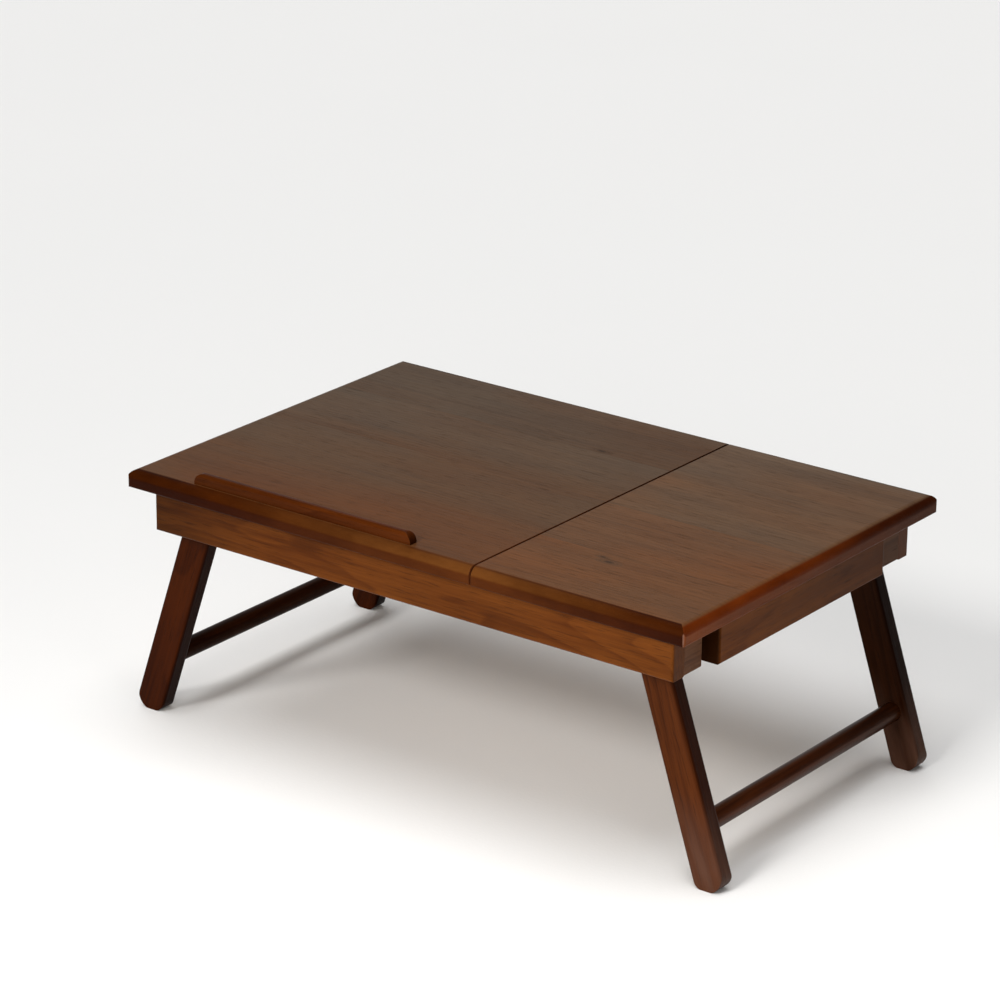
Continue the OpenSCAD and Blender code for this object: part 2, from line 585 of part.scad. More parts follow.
module drawer_back() color(beech) difference() {
  box(dr_back_x, dr_back_x + 8, -dr_side_yi, dr_side_yi, dr_bot_z + dr_bot_t, dr_z1);
  for (s = [-1, 1]) for (z = [dr_z0 + 10.5, dr_z0 + 19.5])
    rod_y0(dr_back_x + 4, s > 0 ? dr_side_yi - 12.3 : -dr_side_yi - 1, s > 0 ? dr_side_yi + 1 : -dr_side_yi + 12.3, z, 0.95);
}

module drawer_bottom() color(ply)
  box(dr_back_x, dr_x0 + 4, -dr_side_yi - 4, dr_side_yi + 4, dr_bot_z, dr_bot_z + dr_bot_t);

module drawer_dowels() color(beech) for (s = [-1, 1]) for (z = [dr_z0 + 10.5, dr_z0 + 19.5])
  translate([dr_x0 - 12, s*(dr_side_yi + 4), z]) rotate([0, 90, 0]) dowel(5, 20);

module drawer_brads() color(steel) for (s = [-1, 1]) for (z = [dr_z0 + 10.5, dr_z0 + 19.5])
  rod_y0(dr_back_x + 4, s > 0 ? dr_side_yi - 12 : -dr_side_yo, s > 0 ? dr_side_yo : -dr_side_yi + 12, z, 0.9);

module runner() difference() {
  union() {
    box(run_x0, run_x1, run_yi, run_yo, run_z0, under);
    box(run_x0, run_x1, run_yi - 8, run_yo, run_z0, dr_z0 - air);
  }
  for (x = [run_x0 + 20, run_x1 - 20]) {
    rod_z0(x, run_yi + 4, run_z0 - 1, run_z0 + 10, 3.2);
    rod_z0(x, run_yi + 4, run_z0 + 9, under + 1, 1.8);
  }
}
module runner_back() color(beech) runner();
module runner_front() color(beech) mirror([0, 1, 0]) runner();

module runner_screws() color(steel) for (s = [-1, 1]) for (x = [run_x0 + 20, run_x1 - 20])
  translate([x, s*(run_yi + 4), run_z0 + 10]) difference() {
    union() {
      translate([0, 0, -2]) cylinder(r = 3, h = 2);
      cylinder(r = 1.75, h = under + 7.5 - run_z0 - 10);
      translate([0, 0, under + 7.5 - run_z0 - 10]) cylinder(r1 = 1.75, r2 = 0.3, h = 2.5);
    }
    translate([0, 0, -2]) drive(3.2, 1.2);
  }

module drawer_stop() color(beech) difference() {
  box(stopb_x, stopb_x + 8, -12, 12, under - 8, under);
  translate([stopb_x + 4, 0, under - 8]) csk_hole(1.5, 2.9, 1.8, 9);
}
module drawer_stop_screw() color(steel) translate([stopb_x + 4, 0, under - 8]) difference() {
  csk_screw(1.5, 2.9, 1.8, 17);
  drive(2.8, 1.0);
}

// ---------- assembly ----------

front_rail();
back_rail();
left_end_rail();
end_block_front();
end_block_back();
cross_rail();
base_board();
rack_left();
rack_right();
fixed_panel();
frame_dowels();
panel_dowels();
cross_rail_screws();
tilt_panel();
book_stop();
book_stop_screws();
hinge_left_rail_leaf();
hinge_left_panel_leaf();
hinge_left_pin();
hinge_right_rail_leaf();
hinge_right_panel_leaf();
hinge_right_pin();
hinge_rail_screws();
hinge_panel_screws();
prop_bracket_left();
prop_bracket_right();
prop_bracket_screws();
prop_rivets();
prop_arm_left();
prop_arm_right();
prop_foot_rod();
leg_left_front();
leg_left_back();
stretcher_left();
leg_right_front();
leg_right_back();
stretcher_right();
pivot_screws();
pivot_washers();
pivot_spacers();
drawer_front();
drawer_side_front();
drawer_side_back();
drawer_back();
drawer_bottom();
drawer_dowels();
drawer_brads();
runner_front();
runner_back();
runner_screws();
drawer_stop();
drawer_stop_screw();
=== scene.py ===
import math
import bpy
import bmesh
from mathutils import Matrix, Vector

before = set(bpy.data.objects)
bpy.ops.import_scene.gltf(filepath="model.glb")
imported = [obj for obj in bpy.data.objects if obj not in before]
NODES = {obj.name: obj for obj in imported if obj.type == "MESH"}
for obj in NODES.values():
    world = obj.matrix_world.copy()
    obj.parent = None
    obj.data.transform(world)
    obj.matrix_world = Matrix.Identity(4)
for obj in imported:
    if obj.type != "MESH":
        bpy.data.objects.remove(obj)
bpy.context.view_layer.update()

SPLAY = math.radians(18.5)

# ---------------------------------------------------------------- camera

AZ, EL, ROLL = math.radians(36.58), math.radians(20.63), math.radians(0.67)
TARGET = Vector((-0.1477, 0.15928, 0.120))
DIST = 3.40504
FOCAL_PX = 4056.3                      # for a picture 1000 pixels wide

back = Vector((math.sin(AZ) * math.cos(EL), -math.cos(AZ) * math.cos(EL), math.sin(EL)))
fwd = -back
right = fwd.cross(Vector((0, 0, 1))).normalized()
up = right.cross(fwd)
r2 = right * math.cos(ROLL) + up * math.sin(ROLL)
u2 = -right * math.sin(ROLL) + up * math.cos(ROLL)
cam_data = bpy.data.cameras.new("camera")
cam = bpy.data.objects.new("camera", cam_data)
bpy.context.scene.collection.objects.link(cam)
m = Matrix.Identity(4)
for row in range(3):
    m[row][0], m[row][1], m[row][2] = r2[row], u2[row], back[row]
    m[row][3] = (TARGET + back * DIST)[row]
cam.matrix_world = m
cam_data.sensor_fit = "HORIZONTAL"
cam_data.sensor_width = 36.0
cam_data.lens = FOCAL_PX / 1000.0 * 36.0
cam_data.clip_start = 0.05
cam_data.clip_end = 60.0
bpy.context.scene.camera = cam
bpy.context.scene.view_settings.view_transform = "Standard"

# ---------------------------------------------------------------- node helpers


class Tree:
    """Short calls for building a material's nodes."""

    def __init__(self, name):
        self.mat = bpy.data.materials.new(name)
        self.mat.use_nodes = True
        self.nt = self.mat.node_tree
        self.nt.nodes.clear()
        self.out = self.nt.nodes.new("ShaderNodeOutputMaterial")
        self.x = 0

    def add(self, kind, **props):
        n = self.nt.nodes.new(kind)
        n.location = (self.x, 0)
        self.x += 180
        for k, v in props.items():
            setattr(n, k, v)
        return n

    def link(self, a, b):
        self.nt.links.new(a, b)

    def put(self, socket, value):
        if isinstance(value, bpy.types.NodeSocket):
            self.link(value, socket)
        else:
            socket.default_value = value

    def math(self, op, a, b=0.0, c=None, clamp=False):
        n = self.add("ShaderNodeMath", operation=op, use_clamp=clamp)
        self.put(n.inputs[0], a)
        self.put(n.inputs[1], b)
        if c is not None:
            self.put(n.inputs[2], c)
        return n.outputs[0]

    def vmath(self, op, a, b=None, scale=None):
        n = self.add("ShaderNodeVectorMath", operation=op)
        self.put(n.inputs[0], a)
        if b is not None:
            self.put(n.inputs[1], b)
        if scale is not None:
            self.put(n.inputs["Scale"], scale)
        return n.outputs["Value"] if op in ("DOT_PRODUCT", "LENGTH", "DISTANCE") else n.outputs["Vector"]

    def noise(self, vec, scale=1.0, detail=3.0, rough=0.55, distort=0.0, dims="3D"):
        n = self.add("ShaderNodeTexNoise", noise_dimensions=dims)
        self.put(n.inputs["Vector"], vec)
        n.inputs["Scale"].default_value = scale
        n.inputs["Detail"].default_value = detail
        n.inputs["Roughness"].default_value = rough
        n.inputs["Distortion"].default_value = distort
        return n.outputs["Fac"]

    def ramp(self, fac, stops, mode="LINEAR"):
        n = self.add("ShaderNodeValToRGB")
        n.color_ramp.interpolation = mode
        e = n.color_ramp.elements
        while len(e) < len(stops):
            e.new(0.5)
        for el, (pos, col) in zip(e, stops):
            el.position = pos
            el.color = (*col, 1.0) if len(col) == 3 else col
        self.put(n.inputs["Fac"], fac)
        return n.outputs["Color"]

    def span(self, v, lo, hi, to_lo=0.0, to_hi=1.0, smooth=False):
        n = self.add("ShaderNodeMapRange", interpolation_type="SMOOTHSTEP" if smooth else "LINEAR")
        self.put(n.inputs["Value"], v)
        n.inputs["From Min"].default_value = lo
        n.inputs["From Max"].default_value = hi
        n.inputs["To Min"].default_value = to_lo
        n.inputs["To Max"].default_value = to_hi
        return n.outputs["Result"]

    def mix(self, fac, a, b, blend="MIX"):
        n = self.add("ShaderNodeMix", data_type="RGBA", blend_type=blend)
        self.put(n.inputs["Factor"], fac)
        self.put(n.inputs["A"], (*a, 1.0) if isinstance(a, tuple) else a)
        self.put(n.inputs["B"], (*b, 1.0) if isinstance(b, tuple) else b)
        return n.outputs["Result"]

    def combine(self, x, y, z):
        n = self.add("ShaderNodeCombineXYZ")
        self.put(n.inputs[0], x)
        self.put(n.inputs[1], y)
        self.put(n.inputs[2], z)
        return n.outputs[0]

    def split(self, v):
        n = self.add("ShaderNodeSeparateXYZ")
        self.put(n.inputs[0], v)
        return n.outputs[0], n.outputs[1], n.outputs[2]

    def edge(self, radius):
        """1 along sharp outer edges, 0 on flats, from the angle between the rounded and the true normal."""
        b = self.add("ShaderNodeBevel", samples=4)
        b.inputs["Radius"].default_value = radius
        g = self.add("ShaderNodeNewGeometry")
        d = self.vmath("DOT_PRODUCT", b.outputs["Normal"], g.outputs["Normal"])
        return self.span(d, 0.995, 0.86), b.outputs["Normal"]

    def finish(self, color, rough, height, bump_m, base_normal=None, **consts):
        p = self.add("ShaderNodeBsdfPrincipled")
        self.put(p.inputs["Base Color"], color)
        self.put(p.inputs["Roughness"], rough)
        for k, v in consts.items():
            p.inputs[k.replace("_", " ")].default_value = v
        if height is not None:
            bump = self.add("ShaderNodeBump")
            bump.inputs["Strength"].default_value = 1.0
            bump.inputs["Distance"].default_value = bump_m
            self.put(bump.inputs["Height"], height)
            if base_normal is not None:
                self.link(base_normal, bump.inputs["Normal"])
            self.link(bump.outputs["Normal"], p.inputs["Normal"])
        self.link(p.outputs["BSDF"], self.out.inputs["Surface"])
        return self.mat


def wood(name, dark, light, grain="X", tilt=0.0, board=0.0, board_at=0.0, contrast=0.5, rough=0.36,
         coat=0.25, worn_and_highlight=(0.30, 0.11, 0.035), wear_and_highlight=0.5, seed=0.0, pores=0.5, knots=(), ring=0.0045, end_dark=0.62,
         mottle=0.5, side_shade=0.0, moulded_shade=None, moulded_mid_lit=None, moulded_end_lit=None, strip=None, drift_and_sheen=0.0, end_tone=0.62,
         light_falloff=(), foot=None, gloss=0.10, end_pow=6.0):
    """Stained timber. grain is the axis the fibres run along, tilt turns that about Y, board is the width of the glued strips."""
    t = Tree(name)
    tc = t.add("ShaderNodeTexCoord")
    P = tc.outputs["Object"]
    N = tc.outputs["Normal"]
    # turn the space so that the fibres run along X
    rot = t.add("ShaderNodeMapping", vector_type="POINT")
    t.link(P, rot.inputs["Vector"])
    if grain == "X":
        axis = (1, 0, 0)
    elif grain == "Y":
        rot.inputs["Rotation"].default_value = (0, 0, -math.pi / 2)
        axis = (0, 1, 0)
    else:
        rot.inputs["Rotation"].default_value = (0, math.pi / 2 - tilt, 0)
        axis = (-math.sin(tilt), 0, math.cos(tilt)) if tilt else (0, 0, 1)
    x, y, z = t.split(rot.outputs["Vector"])
    # glued strips, each cut from another place in the log
    if board:
        b = t.math("FLOOR", t.math("DIVIDE", t.math("ADD", y, board_at + 10.0 * board), board))
        wn = t.add("ShaderNodeTexWhiteNoise", noise_dimensions="1D")
        t.link(t.math("ADD", b, seed * 7.13 + 0.5), wn.inputs["W"])
        rnd = wn.outputs["Value"]
        rx, ry, rz = t.split(wn.outputs["Color"])
        frac = t.math("FRACT", t.math("DIVIDE", t.math("ADD", y, board_at + 10.0 * board), board))
        line = t.span(t.math("ABSOLUTE", t.math("SUBTRACT", frac, 0.5)), 0.5 - 0.0005 / board, 0.5)
    else:
        rnd = 0.5
        rx, ry, rz = 0.37, 0.61, 0.25
        line = None
    yy = t.math("ADD", y, t.math("MULTIPLY_ADD", ry, 0.16, seed * 0.31))
    zz = t.math("ADD", z, t.math("MULTIPLY_ADD", rz, 0.05, -0.26 + seed * 0.017))
    xx = t.math("ADD", x, t.math("MULTIPLY_ADD", rx, 3.0, seed))
    Q = t.combine(xx, yy, zz)
    # slow wander of the fibres
    wander = t.noise(t.vmath("MULTIPLY", Q, (2.2, 9.0, 9.0)), 1.0, 2.0, 0.5)
    wander2 = t.noise(t.vmath("MULTIPLY", Q, (7.0, 30.0, 30.0)), 1.0, 2.0, 0.5)
    off = t.math("ADD", t.math("MULTIPLY", t.math("SUBTRACT", wander, 0.5), 0.05),
                 t.math("MULTIPLY", t.math("SUBTRACT", wander2, 0.5), 0.008))
    r = t.math("SQRT", t.math("ADD", t.math("POWER", t.math("ADD", yy, off), 2.0),
                              t.math("POWER", t.math("ADD", zz, t.math("MULTIPLY", off, 0.6)), 2.0)))
    ph = t.math("FRACT", t.math("DIVIDE", r, ring))
    late = t.math("POWER", ph, 2.4)                             # late wood darkens toward the ring's edge
    late = t.math("MULTIPLY", late, t.span(ph, 1.0, 0.93))
    # streaks along the grain, wide and narrow
    streak = t.noise(t.vmath("MULTIPLY", Q, (3.0, 95.0, 95.0)), 1.0, 4.0, 0.62)
    fine = t.noise(t.vmath("MULTIPLY", Q, (14.0, 520.0, 520.0)), 1.0, 3.0, 0.6)
    pore_n = t.noise(t.vmath("MULTIPLY", Q, (55.0, 1500.0, 1500.0)), 1.0, 1.0, 0.5)
    pore = t.math("MULTIPLY", t.span(pore_n, 0.60, 0.70), pores)
    blotch = t.noise(t.vmath("MULTIPLY", Q, (9.0, 26.0, 26.0)), 1.0, 3.0, 0.5)
    cast = t.noise(t.vmath("MULTIPLY", Q, (4.0, 11.0, 11.0)), 1.0, 2.0, 0.5)

    f = t.math("MULTIPLY_ADD", t.math("SUBTRACT", streak, 0.5), 1.5 * contrast, 0.5)
    f = t.math("MULTIPLY_ADD", t.math("SUBTRACT", fine, 0.5), 0.9 * contrast, f)
    f = t.math("MULTIPLY_ADD", late, -0.42 * contrast, f)
    f = t.math("MULTIPLY_ADD", t.math("SUBTRACT", blotch, 0.5), mottle, f)
    if board:
        f = t.math("MULTIPLY_ADD", t.math("SUBTRACT", rnd, 0.5), 0.55 * contrast, f)
    f = t.math("ADD", f, 0.06, clamp=True)
    mid = tuple((a + b) / 2 for a, b in zip(dark, light))
    color = t.ramp(f, [(0.0, tuple(c * 0.55 for c in dark)), (0.3, dark), (0.55, mid), (0.85, light),
                       (1.0, tuple(min(1.0, c * 1.2) for c in light))])
    # random drift of hue between cool and warm brown
    color = t.mix(t.span(cast, 0.35, 0.65, 0.0, 0.3), color, t.mix(1.0, color, (1.14, 0.93, 0.80), "MULTIPLY"))
    # painted sheen: the colour is tinted greyer toward the back left and warmer toward the front right, broken up by
    # the random cast
    if drift_and_sheen:
        px, py, pz = t.split(P)
        ramp = t.math("MULTIPLY_ADD", t.math("SUBTRACT", cast, 0.5), 0.9,
                      t.math("SUBTRACT", t.math("MULTIPLY_ADD", px, 0.6, 0.05), t.math("MULTIPLY", py, 2.2)))
        tint = t.ramp(t.span(ramp, -0.42, 0.42), [(0.0, (0.98, 1.24, 1.60)), (0.5, (1.0, 1.0, 1.0)),
                                                  (1.0, (1.08, 0.81, 0.57))])
        color = t.mix(drift_and_sheen, color, t.mix(1.0, color, tint, "MULTIPLY"))
    color = t.mix(pore, color, tuple(c * 0.35 for c in dark))
    if line is not None:
        color = t.mix(t.math("MULTIPLY", line, 0.45), color, tuple(c * 0.4 for c in dark))
    height_extra = None
    for kx, ky, kz, ks in knots:
        d = t.vmath("LENGTH", t.vmath("MULTIPLY", t.vmath("SUBTRACT", P, (kx, ky, kz)), (0.42 / ks, 1.0 / ks, 0.5 / ks)))
        d = t.math("ADD", d, t.math("MULTIPLY", t.math("SUBTRACT", wander2, 0.5), 0.35))
        halo = t.span(d, 1.9, 0.7, smooth=True)
        core = t.span(d, 0.55, 0.25, smooth=True)
        swirl = t.math("MULTIPLY", t.span(t.math("SINE", t.math("MULTIPLY", d, 16.0)), 0.1, 0.9), halo)
        color = t.mix(t.math("MULTIPLY", halo, 0.45), color, dark)
        color = t.mix(t.math("MULTIPLY", swirl, 0.5), color, tuple(c * 0.5 for c in dark))
        color = t.mix(t.math("MULTIPLY", core, 0.75), color, tuple(c * 0.3 for c in dark))
    # end grain drinks more stain; on the book stop and the drawer front the much darker end tone also paints shade on
    # their ends
    end = t.math("POWER", t.math("ABSOLUTE", t.vmath("DOT_PRODUCT", N, axis)), end_pow)
    color = t.mix(t.math("MULTIPLY", end, end_dark), color, tuple(c * end_tone for c in dark))
    # painted shade: the faces that do not face front or back are darkened
    if side_shade:
        flat = t.math("POWER", t.math("ABSOLUTE", t.vmath("DOT_PRODUCT", N, (0, 1, 0))), 4.0)
        color = t.mix(t.math("MULTIPLY", t.math("SUBTRACT", 1.0, flat), side_shade), color,
                      (dark[0] * 0.32, dark[1] * 0.18, dark[2] * 0.25))
    # painted shade darkens the rounded long edges of the top; the end edges get a lighter tone, painted as lit by the
    # lamp at the right
    if moulded_shade:
        nx, ny, nz = t.split(N)
        px, py, pz = t.split(P)
        plan = t.math("DIVIDE", t.math("ABSOLUTE", nx),
                      t.math("SQRT", t.math("ADD", t.math("MULTIPLY", nx, nx), t.math("MULTIPLY_ADD", ny, ny, 1e-6))))
        ends = t.span(plan, 0.64, 0.84, smooth=True)
        side = t.math("MULTIPLY_ADD", t.math("SUBTRACT", t.span(nz, 0.975, 0.80, smooth=True), t.span(nz, 0.998, 0.980)), ends,
                      t.span(nz, 0.998, 0.980))
        side = t.math("MULTIPLY", side, t.span(nz, -0.998, -0.95))
        cloud = t.span(t.noise(t.vmath("ADD", P, (seed, 0.0, 0.0)), 11.0, 3.0, 0.55), 0.34, 0.66)
        streaky = t.span(t.noise(t.vmath("MULTIPLY", P, (40.0, 26.0, 150.0)), 1.0, 3.0, 0.6), 0.35, 0.65)
        cloud = t.math("MULTIPLY_ADD", streaky, 0.35, t.math("MULTIPLY", cloud, 0.65))
        # painted highlight: the front moulding is lighter in the middle where the lamps catch it, with painted shade
        # toward the corners
        lit_middle = t.math("MULTIPLY", t.span(px, -0.19, 0.06, smooth=True), t.span(px, 0.26, 0.06, smooth=True))
        front = t.mix(lit_middle, moulded_shade, moulded_mid_lit)
        # painted shade: a dark line where the long roundovers leave the top, left out where the book stop covers it
        open_x = t.math("SUBTRACT", 1.0, t.math("MULTIPLY", t.span(px, -0.206, -0.198), t.span(px, 0.015, 0.007)))
        front = t.mix(t.math("MULTIPLY", t.span(nz, 0.88, 0.97, smooth=True), open_x), front,
                      t.mix(1.0, front, (0.72, 0.62, 0.55), "MULTIPLY"))
        # painted shade: the upright lower face of the long edges is darkened further
        front = t.mix(t.span(nz, 0.34, 0.08, smooth=True), front, t.mix(1.0, front, (0.64, 0.47, 0.35), "MULTIPLY"))
        # painted light on the end edges: brightest at the front, falling off toward the back
        lit_end = t.vmath("SCALE", moulded_end_lit, scale=t.span(py, -0.09, 0.14, 1.70, 0.54, smooth=True))
        tone = t.mix(ends, front, lit_end)
        shade = t.mix(cloud, t.mix(1.0, tone, (0.66, 0.58, 0.50), "MULTIPLY"), t.mix(1.0, tone, (1.32, 1.36, 1.40), "MULTIPLY"))
        color = t.mix(side, color, shade)
        # a strip of lighter stain along the lower part of the end edges, with a painted light falloff that darkens it
        # toward the back
        pale = t.vmath("SCALE", t.mix(streaky, tuple(c * 0.85 for c in strip), tuple(c * 1.15 for c in strip)),
                       scale=t.span(py, -0.175, 0.175, 1.15, 0.42))
        low_end = t.math("MULTIPLY", t.math("MULTIPLY", t.span(nz, 0.24, 0.04, smooth=True), ends), t.span(nz, -0.998, -0.95))
        color = t.mix(low_end, color, pale)
        # painted glint on the rounded outer corners of the top
        corner_glint = t.math("MULTIPLY", t.span(plan, 0.50, 0.62), t.span(plan, 0.86, 0.76))
        corner_glint = t.math("MULTIPLY", corner_glint, t.span(nz, 0.70, 0.30))
        corner_glint = t.math("MULTIPLY", corner_glint, t.span(t.noise(P, 210.0, 2.0, 0.6), 0.38, 0.55))
        color = t.mix(t.math("MULTIPLY", corner_glint, 0.85), color, (0.165, 0.078, 0.052))
    # painted light falloff: the colour is scaled darker toward the end of a piece that lay away from the lamps, and
    # lighter toward the lit end
    for way, lo, hi, k_lo, k_hi in light_falloff:
        color = t.vmath("SCALE", color, scale=t.span(t.vmath("DOT_PRODUCT", P, way), lo, hi, k_lo, k_hi, smooth=True))
    if foot:
        fx, fy, fz = t.split(P)
        low = t.math("MULTIPLY", t.span(fz, 0.085, 0.012, smooth=True),
                     t.span(t.noise(t.vmath("MULTIPLY", Q, (9.0, 60.0, 60.0)), 1.0, 3.0, 0.6), 0.25, 0.6))
        color = t.mix(t.math("MULTIPLY", low, 0.75), color, foot)
    # lacquer rubbed thin on the arrises, which also paints a thin highlight line along them
    e, soft = t.edge(0.0008)
    rub_and_highlight = t.span(t.noise(P, 60.0, 4.0, 0.65), 0.36, 0.66)
    color = t.mix(t.math("MULTIPLY", t.math("MULTIPLY", e, rub_and_highlight), wear_and_highlight), color, worn_and_highlight)
    rgh = t.math("MULTIPLY_ADD", t.math("SUBTRACT", fine, 0.5), 0.16, rough)
    rgh = t.math("MULTIPLY_ADD", t.math("SUBTRACT", blotch, 0.5), 0.12, rgh)
    rgh = t.math("MULTIPLY_ADD", pore, 0.18, rgh)
    rgh = t.math("MULTIPLY_ADD", e, -0.03, rgh)
    h = t.math("MULTIPLY_ADD", fine, 0.5, t.math("MULTIPLY", pore, -1.0))
    h = t.math("MULTIPLY_ADD", late, -0.25, h)
    h = t.math("MULTIPLY_ADD", t.noise(P, 160.0, 2.0, 0.5), 0.35, h)
    return t.finish(color, rgh, h, 0.00011, soft, Coat_Weight=coat * 0.2, Coat_Roughness=0.22, Specular_IOR_Level=gloss,
                    Specular_Tint=(1.0, 0.55, 0.27, 1.0))


def metal(name, color, dark, rough=0.34, seed=0.0, brushed="X"):
    t = Tree(name)
    tc = t.add("ShaderNodeTexCoord")
    P = tc.outputs["Object"]
    Q = t.vmath("ADD", P, (seed, seed * 0.7, 0.0))
    s = (60.0, 1600.0, 1600.0) if brushed == "X" else (1600.0, 60.0, 1600.0)
    scratch = t.noise(t.vmath("MULTIPLY", Q, s), 1.0, 3.0, 0.6)
    cloud = t.noise(Q, 140.0, 4.0, 0.6)
    spot = t.span(t.noise(Q, 420.0, 2.0, 0.5), 0.64, 0.74)
    f = t.math("MULTIPLY_ADD", t.math("SUBTRACT", scratch, 0.5), 0.5, cloud)
    c = t.ramp(f, [(0.25, dark), (0.55, color), (0.8, tuple(min(1.0, k * 1.12) for k in color))])
    c = t.mix(t.math("MULTIPLY", spot, 0.35), c, tuple(k * 0.5 for k in dark))
    e, soft = t.edge(0.0004)
    c = t.mix(t.math("MULTIPLY", e, 0.5), c, tuple(min(1.0, k * 1.2) for k in color))
    r = t.math("MULTIPLY_ADD", t.math("SUBTRACT", scratch, 0.5), 0.25, rough)
    r = t.math("MULTIPLY_ADD", t.math("SUBTRACT", cloud, 0.5), 0.2, r)
    h = t.math("MULTIPLY_ADD", scratch, 0.7, t.math("MULTIPLY", cloud, 0.6))
    return t.finish(c, r, h, 0.00004, soft, Metallic=1.0)


def plywood(name, dark, light, z0, thick, seed=0.0):
    """Rotary-cut face veneer with wide figure, and plies that show at the edges."""
    t = Tree(name)
    tc = t.add("ShaderNodeTexCoord")
    P = tc.outputs["Object"]
    N = tc.outputs["Normal"]
    x, y, z = t.split(P)
    Q = t.combine(t.math("ADD", x, seed), t.math("ADD", y, seed * 0.6), 0.0)
    warp = t.noise(t.vmath("MULTIPLY", Q, (1.6, 5.0, 1.0)), 1.0, 2.0, 0.5)
    ring = t.math("FRACT", t.math("MULTIPLY_ADD", warp, 14.0, t.math("MULTIPLY", y, 17.0)))
    fig = t.math("MULTIPLY", t.math("POWER", ring, 2.2), t.span(ring, 1.0, 0.86, smooth=True))
    fine = t.noise(t.vmath("MULTIPLY", Q, (12.0, 420.0, 1.0)), 1.0, 3.0, 0.6)
    blotch = t.noise(t.vmath("MULTIPLY", Q, (5.0, 9.0, 1.0)), 1.0, 3.0, 0.5)
    f = t.math("MULTIPLY_ADD", fig, -0.28, t.math("MULTIPLY_ADD", t.math("SUBTRACT", fine, 0.5), 0.8, 0.62))
    f = t.math("MULTIPLY_ADD", t.math("SUBTRACT", blotch, 0.5), 0.5, f)
    c = t.ramp(f, [(0.1, dark), (0.5, tuple((a + b) / 2 for a, b in zip(dark, light))), (0.9, light)])
    ply = t.span(t.math("ABSOLUTE", t.math("SUBTRACT", z, z0 + thick / 2)), thick / 6, thick / 6 + 0.0003)
    side = t.math("SUBTRACT", 1.0, t.math("POWER", t.math("ABSOLUTE", t.vmath("DOT_PRODUCT", N, (0, 0, 1))), 4.0))
    c = t.mix(t.math("MULTIPLY", side, t.math("SUBTRACT", 1.0, ply)), c, tuple(k * 0.5 for k in dark))
    e, soft = t.edge(0.0005)
    r = t.math("MULTIPLY_ADD", t.math("SUBTRACT", fine, 0.5), 0.2, 0.62)
    h = t.math("MULTIPLY_ADD", fine, 0.8, t.math("MULTIPLY", t.noise(P, 240.0, 2.0, 0.5), 0.3))
    return t.finish(c, r, h, 0.00012, soft)


# ---------------------------------------------------------------- finishes

# the tilt panel on the left gets darker colours than the fixed panel on the right: painted light falling off toward the
# left
TOP_D, TOP_L = (0.063, 0.0320, 0.0157), (0.106, 0.0540, 0.0263)
FIX_D, FIX_L = (0.078, 0.0410, 0.0208), (0.134, 0.0710, 0.0362)
RAIL_D, RAIL_L = (0.066, 0.0165, 0.0020), (0.142, 0.0420, 0.0056)
LEG_D, LEG_L = (0.030, 0.0064, 0.0014), (0.080, 0.0205, 0.0044)

# colours of the top's moulded edges: a painted-shade tone for the long edges, a painted highlight for the middle of the
# front, and a painted lit tone for the end edges
MOULD_SHADE, MOULD_MID_LIT, MOULD_END_LIT = (0.033, 0.0064, 0.0005), (0.088, 0.0290, 0.0060), (0.067, 0.0120, 0.0013)
STRIP = (0.118, 0.0310, 0.0090)

KNOTS = [(0.1475, -0.1020, 0.217, 0.0036), (0.0030, 0.0915, 0.217, 0.0034), (0.1380, -0.0960, 0.217, 0.0020)]

